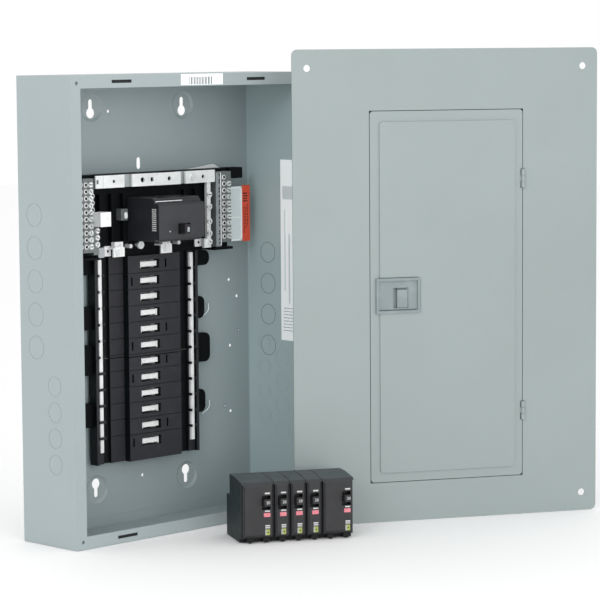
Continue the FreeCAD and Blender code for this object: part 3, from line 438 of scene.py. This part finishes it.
def add_pad(bm, place, x, z, front, back, round_off):
    """A thin pad with rounded corners in a bmesh; sizes in millimetres in the place's frame."""
    corners = []
    steps = 4  # straight edges in each rounded corner
    for sx, sz, start in ((1, 1, 0), (-1, 1, 90), (-1, -1, 180), (1, -1, 270)):
        for step in range(steps + 1):
            angle = math.radians(start + 90 * step / steps)
            cx = (x[1] if sx > 0 else x[0]) - sx * round_off + round_off * math.cos(angle)
            cz = (z[1] if sz > 0 else z[0]) - sz * round_off + round_off * math.sin(angle)
            corners.append((cx, cz))
    rings = []
    lip = min(0.5 * abs(back - front), 0.3)
    middle = ((x[0] + x[1]) / 2, (z[0] + z[1]) / 2)
    for depth, shrink in ((back, 0.0), (front + lip, 0.0), (front, lip)):
        ring = []
        for cx, cz in corners:
            dx = cx - math.copysign(min(shrink, abs(cx - middle[0])), cx - middle[0])
            dz = cz - math.copysign(min(shrink, abs(cz - middle[1])), cz - middle[1])
            ring.append(bm.verts.new(place @ Vector((dx * MM, depth * MM, dz * MM))))
        rings.append(ring)
    count = len(corners)
    for lower, upper in zip(rings, rings[1:]):
        for index in range(count):
            after = (index + 1) % count
            bm.faces.new((lower[index], lower[after], upper[after], upper[index]))
    bm.faces.new(rings[-1])
    bm.faces.new(list(reversed(rings[0])))


def pads(name, place, spans, depth, material, body, round_off=0.3):
    """One piece of several rounded pads; spans are (low x, high x, low z, high z)."""
    bm = bmesh.new()
    for x0, x1, z0, z1 in spans:
        limit = 0.45 * min(x1 - x0, z1 - z0)
        add_pad(bm, place, (x0, x1), (z0, z1), depth[0], depth[1], min(round_off, limit))
    bmesh.ops.recalc_face_normals(bm, faces=bm.faces)
    mesh_piece(name, bm, material, body)


def lines_of_print(x, z, height, gap, words, seed):
    """Word-like bars in rows between limits, with widths that vary in a fixed way."""
    spans = []
    row = 0
    top = z[1]
    while top - height > z[0]:
        left = x[0]
        for word in range(words):
            share = 0.55 + 0.45 * math.sin(seed + 2.3 * row + 4.1 * word)
            width = (x[1] - x[0]) / words * (0.45 + 0.4 * share)
            if left + width > x[1]:
                break
            spans.append((left, left + width, top - height, top))
            left += width + 0.12 * (x[1] - x[0]) / words
        top -= height + gap
        row += 1
    return spans


def write_number(name, text, place, size, material, body):
    """A generic number as thin raised figures."""
    curve = bpy.data.curves.new(name, "FONT")
    curve.body = text
    curve.size = size * MM
    curve.extrude = 0.00006
    curve.align_x = "CENTER"
    curve.align_y = "CENTER"
    curve.materials.append(material)
    piece = bpy.data.objects.new(name, curve)
    bpy.context.scene.collection.objects.link(piece)
    piece.matrix_world = place @ Matrix.Rotation(math.radians(90), 4, "X")
    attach(piece, body)


# ------------------------------------------------------------------------------ branch breakers

def breaker_marks(number):
    """A breaker's legends, test bar, sticker and the rating on its handle."""
    place = breaker_frame(number)
    body = "breaker_%d" % number
    depth = (FACE - PRINT_PROUD, FACE + 0.05)
    legends = [(-1.6, 4.6, 9.9, 11.7), (-1.6, 4.4, -10.4, -8.8),
               (-1.2, 4.4, -27.2, -25.7), (-1.2, 4.4, -29.4, -28.1)]
    pads(body + "_print", place, legends, depth, MARK, body, 0.2)
    test_bar = [(-2.9, 4.9, -16.3, -11.6)]
    pads(body + "_test_bar", place, test_bar, (FACE - 0.5, FACE + 0.05), ROSE, body, 0.5)
    sticker = (-1.4, 4.2, -37.3, -30.6)
    pads(body + "_sticker", place, [sticker], depth, LIME, body, 0.3)
    edge = [(sticker[0], 0.3, *sticker[2:])]
    over = (FACE - 0.16, FACE - 0.1)
    pads(body + "_sticker_edge", place, edge, over, STICKER_GREY, body, 0.2)
    dot = [(1.2, 2.7, -35.0, -33.2)]
    over = (FACE - 0.2, FACE - 0.05)
    pads(body + "_sticker_dot", place, dot, over, DARK_INK_AND_SHADE, body, 0.7)
    tilt = Matrix.Rotation(math.radians(HANDLE_TILT), 4, "X")
    tip = place @ tilt @ Matrix.Translation((0, HANDLE_FACE * MM, 0))
    write_number(body + "_rating", RATING, tip, 4.6, MARK, body + "_toggle")


for number in BREAKERS:
    breaker_marks(number)


# --------------------------------------------------------------------------------- the interior

def spans_at(node):
    """A node's box at rest in millimetres: (x limits, y limits, z limits)."""
    low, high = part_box(node)
    return [(low[axis] / MM, high[axis] / MM) for axis in range(3)]


def facing_left(x):
    """A frame whose front faces -X at a place along X, for what is seen on a right-hand side."""
    return frame_at((x * MM, 0, 0), (0, -1, 0))


def discs(name, centres, radius, depth, material):
    """Thin round pads on the enclosure's fittings."""
    spans = [(cx - radius, cx + radius, cz - radius, cz + radius) for cx, cz in centres]
    pads(name, WORLD, spans, depth, material, "enclosure", radius)


def tube(name, points, radius, material, body):
    """A bent wire through points, as a smooth swept mesh."""
    curve = bpy.data.curves.new(name + "_path", "CURVE")
    curve.dimensions = "3D"
    curve.bevel_depth = radius * MM
    curve.bevel_resolution = 3
    curve.use_fill_caps = True
    spline = curve.splines.new("NURBS")
    spline.points.add(len(points) - 1)
    for point, at in zip(spline.points, points):
        point.co = (*[value * MM for value in at], 1)
    spline.order_u = 3
    spline.use_endpoint_u = True
    shape = bpy.data.objects.new(name + "_path", curve)
    data = bpy.data.meshes.new_from_object(shape)
    bpy.data.objects.remove(shape)
    data.materials.clear()
    data.materials.append(material)
    for face in data.polygons:
        face.use_smooth = True
    piece = bpy.data.objects.new(name, data)
    bpy.context.scene.collection.objects.link(piece)
    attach(piece, body)


def main_breaker_marks():
    """The main breaker's side label, position marks and a painted highlight along its top edge."""
    x, y, z = spans_at("main_breaker_front")
    case = spans_at("main_breaker_case")
    side = facing_left(case[0][0])
    label = (-y[0] - 12, -y[0] - 1)
    area = [(*label, z[0] + 8, z[1] - 5)]
    pads("main_side_label", side, area, (-0.25, 0.45), DARK_INK_AND_SHADE, "enclosure", 0.4)
    rows = lines_of_print((label[0] + 0.8, label[1] - 0.8), (z[0] + 9, z[1] - 6), 1.5, 0.9, 3, 0.4)
    pads("main_side_label_print", side, rows, (-0.35, -0.2), MARK, "enclosure", 0.2)
    front = (y[0] - 0.14, y[0] + 0.05)
    discs("main_dot", [(x[0] + 17, z[0] + 9)], 0.8, front, MARK)
    # painted highlight: a bright strip along the case's top front edge
    edge = [(x[0] + 1, x[0] + 43, case[2][1] - 4.2, case[2][1] - 3.0)]
    depth = (case[1][0] - 0.2, case[1][0] + 0.4)
    pads("main_top_painted_highlight", WORLD, edge, depth, TIN, "enclosure", 0.3)
    turn = Matrix.Rotation(math.radians(-MAIN_TILT), 4, "Z")
    hinge = joint("main_handle_hinge")["pos_m"]
    lever = Matrix.Translation(Vector(hinge)) @ turn
    reach = y[0] - hinge[1] / MM - MAIN_LEVER_PROUD
    mark = [(-0.6, 2.4, -3.2, 2.4)]
    depth = (reach - 0.06, reach + 0.1)
    pads("main_handle_mark", lever, mark, depth, INK, "main_toggle", 0.5)


def connector_details():
    """Small plated parts around the main breaker's load end and the rails' heads."""
    carrier = spans_at("upper_carrier")
    bed = carrier[1][0] + 6
    depth = (bed - 9, bed + 0.5)
    pads("side_terminal_plate", WORLD, [SIDE_TERMINAL], depth, SHADED_BAR_METAL, "enclosure", 1.0)
    depth = (bed - 9.8, bed - 8.8)
    pads("side_terminal_face", WORLD, [SIDE_TERMINAL_FACE], depth, TIN, "enclosure", 2.0)
    x, y, z = spans_at("load_straps")
    fins = []
    for left in (x[0] + 2, x[1] - 15):
        for index in range(3):
            rise = z[0] + 14.5 + 2.0 * math.sin(2 + left + index)
            fins.append((left + 4.4 * index, left + 4.4 * index + 2.4, z[0] + 7, rise))
    pads("strap_fins", WORLD, fins, (y[0] - 1.5, y[0] + 1.0), TIN, "enclosure", 0.4)
    low, high = carrier[0]
    heads = [(low + 17, low + 27, 321, 333), (high - 22, high - 11.5, 324, 334)]
    pads("rail_heads", WORLD, heads, (bed - 2.0, bed + 0.2), TIN, "enclosure", 0.8)
    middles = [((start + stop) / 2, (bottom + top) / 2) for start, stop, bottom, top in heads]
    # painted shade: dark discs stand for the holes in the rails' heads
    discs("rail_head_holes", middles, 1.6, (bed - 2.1, bed - 1.9), DARK_INK_AND_SHADE)
    bends = [(low + 6, low + 15.5, 320, 332), (high - 10.5, high - 6.5, 324, 333)]
    pads("rail_head_bends", WORLD, bends, (bed - 4.0, bed + 0.2), ZINC, "enclosure", 1.5)


def clip_wires():
    """A bent wire beside each cable clip."""
    tabs = spans_at("side_tabs")
    back = tabs[1][1] + 1.0
    for side, edge in (("left", tabs[0][0]), ("right", tabs[0][1])):
        sign = math.copysign(1.0, edge)
        for label, low in (("upper", 238), ("lower", 120)):
            points = [(edge + sign * 4, back, low + 14), (edge + sign * 3.4, back - 2, low + 9),
                      (edge - sign * 0.5, back - 3, low + 4), (edge - sign * 5, back - 2, low + 1),
                      (edge - sign * 8, back, low - 2)]
            tube("clip_wire_%s_%s" % (side, label), points, 0.6, SHEET, "enclosure")


def screw_slots(name, centres, face, radius):
    """A slot of painted shade across each screw head, every one at its own angle."""
    bm = bmesh.new()
    for index, (cx, cz) in enumerate(centres):
        turn = Matrix.Rotation(2.4 * index + 0.6 * math.sin(5.0 * index), 4, "Y")
        place = Matrix.Translation((cx * MM, face * MM, cz * MM)) @ turn
        add_pad(bm, place, (-radius, radius), (-0.42, 0.42), -0.06, 0.05, 0.2)
    bmesh.ops.recalc_face_normals(bm, faces=bm.faces)
    mesh_piece(name, bm, DARK_INK_AND_SHADE, "enclosure")


def ladder(x, low, count):
    """Places one terminal pitch apart, upward from the lowest."""
    return [(x, low + TERMINAL_PITCH * index) for index in range(count)]


def bar_holes():
    """The wire holes and the screws' slots of the neutral bars, drawn as painted shade."""
    outer = spans_at("neutral_bar_left_outer")
    inner = spans_at("neutral_bar_left_inner")
    right = spans_at("neutral_bar_right_outer")
    face = inner[1][0]
    lowest = right[2][0] + 7
    edge = inner[0][0]
    wires = ladder(outer[0][0] + 2.5, lowest, TERMINALS)
    wires += ladder(edge + 4.2, lowest, TERMINALS) + ladder(edge + 13.9, lowest + 42, 3)
    wires += ladder(right[0][0] + 4.2, lowest, TERMINALS)
    discs("wire_hole_rims", wires, 2.9, (face - 0.5, face + 0.05), SCREW)
    # painted shade: dark discs stand for the wire holes
    discs("wire_holes", wires, 1.8, (face - 0.6, face - 0.4), DARK_INK_AND_SHADE)
    heads = ladder(edge + 10.1, lowest, TERMINALS) + ladder(edge + 19.5, lowest + 2, 3)
    heads += ladder(right[0][0] + 11.3, lowest, TERMINALS - 1)
    head_face = spans_at("terminal_screws_right")[1][0]
    screw_slots("terminal_slots", heads, head_face + 0.2, 2.5)
    link = spans_at("neutral_link_bar")[0]
    screw_slots("link_slots", [(link[1] - 3, height) for height in LINK_SCREWS], head_face, 2.2)
    x, y, z = spans_at("neutral_bar_right_inner")
    middle = (x[0] + x[1]) / 2 + 1.2
    slots = []
    for index in range(17):
        start = z[0] + 3 + 5.1 * index + 1.2 * math.sin(3.7 * index)
        slots.append((middle - 1.0, middle + 1.0, start, start + 2.6))
    depth = (y[0] - 0.06, y[0] + 0.1)
    # painted shade in the right inner bar's slots
    pads("bar_slots_right", WORLD, slots, depth, DARK_INK_AND_SHADE, "enclosure", 0.8)
    edges = [(x[1] - 0.9, x[1], z[0] + 1, z[1] - 1)]
    depth = (y[0] - 0.8, y[0] + 0.1)
    pads("bar_edges_right", WORLD, edges, depth, SCREW, "enclosure", 0.3)
    plate = [(x[0], x[1] - 2.2, z[0] + 1, z[1] - 1)]
    depth = (y[0] - 0.05, y[0] + 0.1)
    pads("bar_face_right", WORLD, plate, depth, ZINC, "enclosure", 0.3)


def base_groove_shades():
    """Painted shade lines between pole positions, in the grooves of the base."""
    ridge = spans_at("base_upper")
    shelf = spans_at("neutral_rail_left")[1][1] + 1.0
    middle = (ridge[0][0] + ridge[0][1]) / 2
    front = ridge[1][0] + 1.0
    across, left, right = [], [], []
    for index in range(POLE_LINES):
        height = LOWEST_STAB + (index + 0.5) * POLE_PITCH
        limits = (height - SHADE_LINE_HALF, height + SHADE_LINE_HALF)
        across.append((middle - 33.8, middle + 47.3, *limits))
        left.append((middle - 55.8, middle - 34.2, *limits))
        right.append((middle + 47.7, middle + 55.8, *limits))
    depth = (front - 0.1, front + 0.05)
    pads("ridge_groove_shade", WORLD, across, depth, DARK_INK_AND_SHADE, "enclosure", 0.1)
    depth = (shelf - 0.1, shelf + 0.05)
    pads("shelf_groove_shade", WORLD, left + right, depth, DARK_INK_AND_SHADE, "enclosure", 0.1)


def back_wall_pips():
    """Two small pressed pips in the back wall, beside the interior, each ringed with painted shadow."""
    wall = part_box("top_endwall")[1][1] / MM
    discs("wall_pip_rims", WALL_PIPS, 1.9, (wall - 0.25, wall + 0.05), SHADOW_LINE)
    discs("wall_pips", WALL_PIPS, 1.1, (wall - 0.35, wall - 0.2), WHITE)


def sheet_marks():
    """Folded edges of the side barrier and the lines printed on its tag."""
    x, y, z = spans_at("side_barrier")
    edges = [(*x, z[1] - 2.2, z[1] - 0.2), (*x, z[0] + 0.2, z[0] + 2.2), (x[1] - 2.0, x[1] - 0.2, *z),
             (x[0], x[1] - 1, z[0] + 28, z[0] + 29.5)]
    depth = (y[0] - 0.3, y[0] + 0.1)
    pads("side_barrier_folds", WORLD, edges, depth, SHEET_EDGE, "enclosure", 0.4)
    x, y, z = spans_at("barrier_tag")
    columns = []
    for column, (start, stop) in enumerate(((10, 43), (16, 40), (19, 45))):
        left = x[0] + 2.6 + 2.9 * column
        height = z[0] + start
        while height < z[0] + stop:
            step = 2.2 + 1.6 * math.sin(height * 1.7 + column) ** 2
            columns.append((left, left + 1.3, height, height + step))
            height += step + 1.0
    depth = (y[0] - 0.1, y[0] + 0.05)
    pads("barrier_tag_print", WORLD, columns, depth, TAG_INK, "enclosure", 0.3)
    rows = lines_of_print((x[0] + 2, x[1] - 2), (z[1] - 20, z[1] - 9), 1.6, 1.5, 2, 0.8)
    pads("barrier_tag_heading", WORLD, rows, depth, DARK_INK_AND_SHADE, "enclosure", 0.3)


def label_print():
    """Faint columns and a little small print on the wiring label, and the flange label's stripes."""
    x, y, z = spans_at("wiring_label")
    side = facing_left(x[0])
    streaks = [(-y[1] + 6, -y[1] + 8, z[0] + 60, z[1] - 60), (-y[1] + 13, -y[1] + 16, z[0] + 45, z[1] - 90),
               (-y[1] + 3, -y[0] - 4, z[1] - 48, z[1] - 32)]
    pads("wiring_label_columns", side, streaks, (-0.1, 0.02), PALE_INK, "enclosure", 1.0)
    rows = lines_of_print((-y[1] + 4, -y[0] - 4), (z[0] + 10, z[0] + 40), 1.3, 2.6, 4, 1.3)
    pads("wiring_label_print", side, rows, (-0.12, 0.02), FAINT_INK, "enclosure", 0.2)
    x, y, z = spans_at("flange_label")
    stripes = []
    left = x[0] + 0.2 * (x[1] - x[0])
    end = x[0] + 0.75 * (x[1] - x[0])
    while left < end:
        width = 0.7 + 0.6 * math.sin(left * 1.9) ** 2
        stripes.append((left, left + width, z[0] + 0.6, z[1] - 3.4))
        left += width + 1.0 + 0.8 * math.sin(left * 0.7) ** 2
    depth = (y[0] - 0.08, y[0] + 0.05)
    pads("flange_label_print", WORLD, stripes, depth, DARK_INK_AND_SHADE, "enclosure", 0.1)


def directory_rows():
    """Ruled lines for the circuits on the card behind the door, in two columns."""
    x, y, z = limits_in(COVER, "directory_card")
    middle = (x[0] + x[1]) / 2
    rules = [(middle - 0.4, middle + 0.4, z[0] + 4, z[1] - 16)]
    numbers = [(x[0] + 4, x[1] - 4, z[1] - 11, z[1] - 6)]
    pitch = (z[1] - z[0] - 20) / CIRCUIT_ROWS
    for row in range(CIRCUIT_ROWS + 1):
        height = z[0] + 4 + row * pitch
        rules.append((x[0] + 4, middle - 2, height, height + RULE_HEIGHT))
        rules.append((middle + 2, x[1] - 4, height, height + RULE_HEIGHT))
        if row < CIRCUIT_ROWS:
            for left in (x[0] + 5, middle + 3):
                numbers.append((left, left + 3, height + 0.3 * pitch, height + 0.6 * pitch))
    depth = (y[1] - 0.05, y[1] + 0.1)
    pads("directory_rules", COVER, rules, depth, INK, "door", 0.1)
    pads("directory_marks", COVER, numbers, depth, INK, "door", 0.2)


def add_ring(bm, place, centre, radius, width, front, back):
    """A thin flat ring in a bmesh; sizes in millimetres in the place's frame."""
    loops = []
    for reach, depth in ((radius, back), (radius, front), (radius - width, front), (radius - width, back)):
        loop = []
        for step in range(RING_STEPS):
            angle = 2 * math.pi * step / RING_STEPS
            spot = Vector((centre[0] + reach * math.cos(angle), depth, centre[1] + reach * math.sin(angle)))
            loop.append(bm.verts.new(place @ (spot * MM)))
        loops.append(loop)
    for near, far in zip(loops, loops[1:] + loops[:1]):
        for step in range(RING_STEPS):
            after = (step + 1) % RING_STEPS
            bm.faces.new((near[step], near[after], far[after], far[step]))


def upper_knockouts():
    """The pressed rings of the upper knockouts on the inner face of the right wall, drawn as painted shadow
    lines.
    """
    side = facing_left(spans_at("wiring_label")[0][1])
    bm = bmesh.new()
    for index in range(UPPER_KNOCKOUTS):
        centre = (-UPPER_KNOCKOUT_DEPTH, LOWEST_UPPER_KNOCKOUT + index * UPPER_KNOCKOUT_PITCH)
        add_ring(bm, side, centre, UPPER_KNOCKOUT_RADIUS, RING_WIDTH, -0.1, 0.05)
    bmesh.ops.recalc_face_normals(bm, faces=bm.faces)
    mesh_piece("upper_knockout_rings", bm, SHADOW_LINE, "enclosure")


def flange_slots():
    """Painted shadow behind the two slots in each front flange."""
    y, z = spans_at("top_endwall")[1:]
    bottom = spans_at("bottom_endwall")[2][0]
    spans = []
    for x in (-FLANGE_SLOT_X, FLANGE_SLOT_X):
        across = (x - FLANGE_SLOT_HALF_LENGTH, x + FLANGE_SLOT_HALF_LENGTH)
        for height in (z[1] - FLANGE_MIDDLE, bottom + FLANGE_MIDDLE):
            spans.append((*across, height - FLANGE_SLOT_HALF_HEIGHT, height + FLANGE_SLOT_HALF_HEIGHT))
    depth = (y[0] + 1.55, y[0] + 1.8)
    pads("flange_slot_painted_shadow", WORLD, spans, depth, DARK_INK_AND_SHADE, "enclosure", 0.5)


def limits_in(place, node):
    """A node's limits in millimetres along each axis of a frame."""
    item = NODES[node]
    turn = place.inverted() @ item.matrix_world
    corners = [turn @ vertex.co for vertex in item.data.vertices]
    return [(min(corner[axis] for corner in corners) / MM, max(corner[axis] for corner in corners) / MM)
            for axis in range(3)]


def latch_shadow_lines():
    """Painted shadow lines around the latch's housing, at the foot of its dish and on its slide."""
    x, y, z = limits_in(COVER, "latch_housing")
    panel = limits_in(COVER, "door_panel")[1][0]
    above = (x[0] + 3.5, x[1] - 2, z[1] + 0.1, z[1] + 1.0)
    beside = (x[1] + 0.05, x[1] + 0.9, z[0] + 0.5, z[1] - 2.5)
    depth = (panel - 0.12, panel + 0.05)
    pads("latch_shadow_outer", COVER, [above, beside], depth, SHADOW_LINE, "door", 0.3)
    dish = y[0] + LATCH_DISH
    foot = [(x[0] + 3.5, x[1] - 4.5, z[0] + 3.3, z[0] + 4.5)]
    pads("latch_shadow_inner", COVER, foot, (dish - 0.1, dish + 0.05), SHADOW_LINE, "door", 0.3)
    slide = limits_in(COVER, "latch_slide")
    shade = [(slide[0][0] - 0.2, slide[0][1] - 1, slide[2][1] - 4.2, slide[2][1] - 2.2)]
    pads("latch_slide_shade", COVER, shade, (slide[1][0] - 0.06, slide[1][0] + 0.05), SHADOW_LINE, "latch",
         0.6)


main_breaker_marks()
connector_details()
clip_wires()
bar_holes()
base_groove_shades()
back_wall_pips()
sheet_marks()
label_print()
latch_shadow_lines()
directory_rows()
upper_knockouts()
flange_slots()


# -------------------------------------------------------------------------- floor, light, camera

def backdrop():
    """A plain pale floor."""
    bm = bmesh.new()
    bmesh.ops.create_grid(bm, x_segments=8, y_segments=8, size=6.0)
    data = bpy.data.meshes.new("floor")
    bm.to_mesh(data)
    bm.free()
    floor = bpy.data.objects.new("floor", data)
    bpy.context.scene.collection.objects.link(floor)
    pale = Shader("pale_floor", (0.975, 0.975, 0.975), 0.6, Specular_IOR_Level=0.1)
    pale.tint(pale.noise(2.0, 2.0), (0.95, 0.95, 0.95), 0.3)
    data.materials.append(pale.finish())
    floor.location.z = -0.0005


def area_light(name, where, aim, size, power, colour=(1, 1, 1)):
    """A soft square light at a point, turned to another point."""
    lamp = bpy.data.lights.new(name, "AREA")
    lamp.size = size
    lamp.energy = power
    lamp.color = colour
    item = bpy.data.objects.new(name, lamp)
    bpy.context.scene.collection.objects.link(item)
    item.location = where
    item.rotation_euler = (Vector(aim) - Vector(where)).to_track_quat("-Z", "Y").to_euler()


def world_light(strength):
    """An even white surround."""
    world = bpy.data.worlds.new("studio")
    bpy.context.scene.world = world
    world.use_nodes = True
    shade = world.node_tree.nodes["Background"]
    shade.inputs["Color"].default_value = (1, 1, 1, 1)
    shade.inputs["Strength"].default_value = strength


VIEW_POINT = (-2.0470, -2.2658, 0.5664)
VIEW_ANGLES = (45.058, 5.637, -0.415)  # turned right of +Y, tipped down, rolled
VIEW_LENS = 156.7


def camera():
    """The photograph's view: from the front left, a little above."""
    lens = bpy.data.cameras.new("view")
    lens.sensor_width = 36.0
    lens.lens = VIEW_LENS
    lens.clip_end = 50.0
    lens.dof.use_dof = False
    item = bpy.data.objects.new("view", lens)
    bpy.context.scene.collection.objects.link(item)
    yaw, pitch, roll = [math.radians(angle) for angle in VIEW_ANGLES]
    ahead = Vector((math.sin(yaw) * math.cos(pitch), math.cos(yaw) * math.cos(pitch), -math.sin(pitch)))
    right = ahead.cross(Vector((0, 0, 1))).normalized()
    up = right.cross(ahead)
    turned_right = math.cos(roll) * right + math.sin(roll) * up
    turned_up = -math.sin(roll) * right + math.cos(roll) * up
    turn = Matrix((turned_right, turned_up, -ahead)).transposed().to_4x4()
    item.matrix_world = Matrix.Translation(VIEW_POINT) @ turn
    bpy.context.scene.camera = item


backdrop()
world_light(1.0)
area_light("key", (-3.0, -1.5, 1.9), (0.05, 0.0, 0.28), 1.6, 26)
area_light("fill", (-1.3, -3.2, 0.6), (0.05, 0.05, 0.25), 1.8, 34)
camera()
bpy.context.scene.view_settings.view_transform = "Standard"
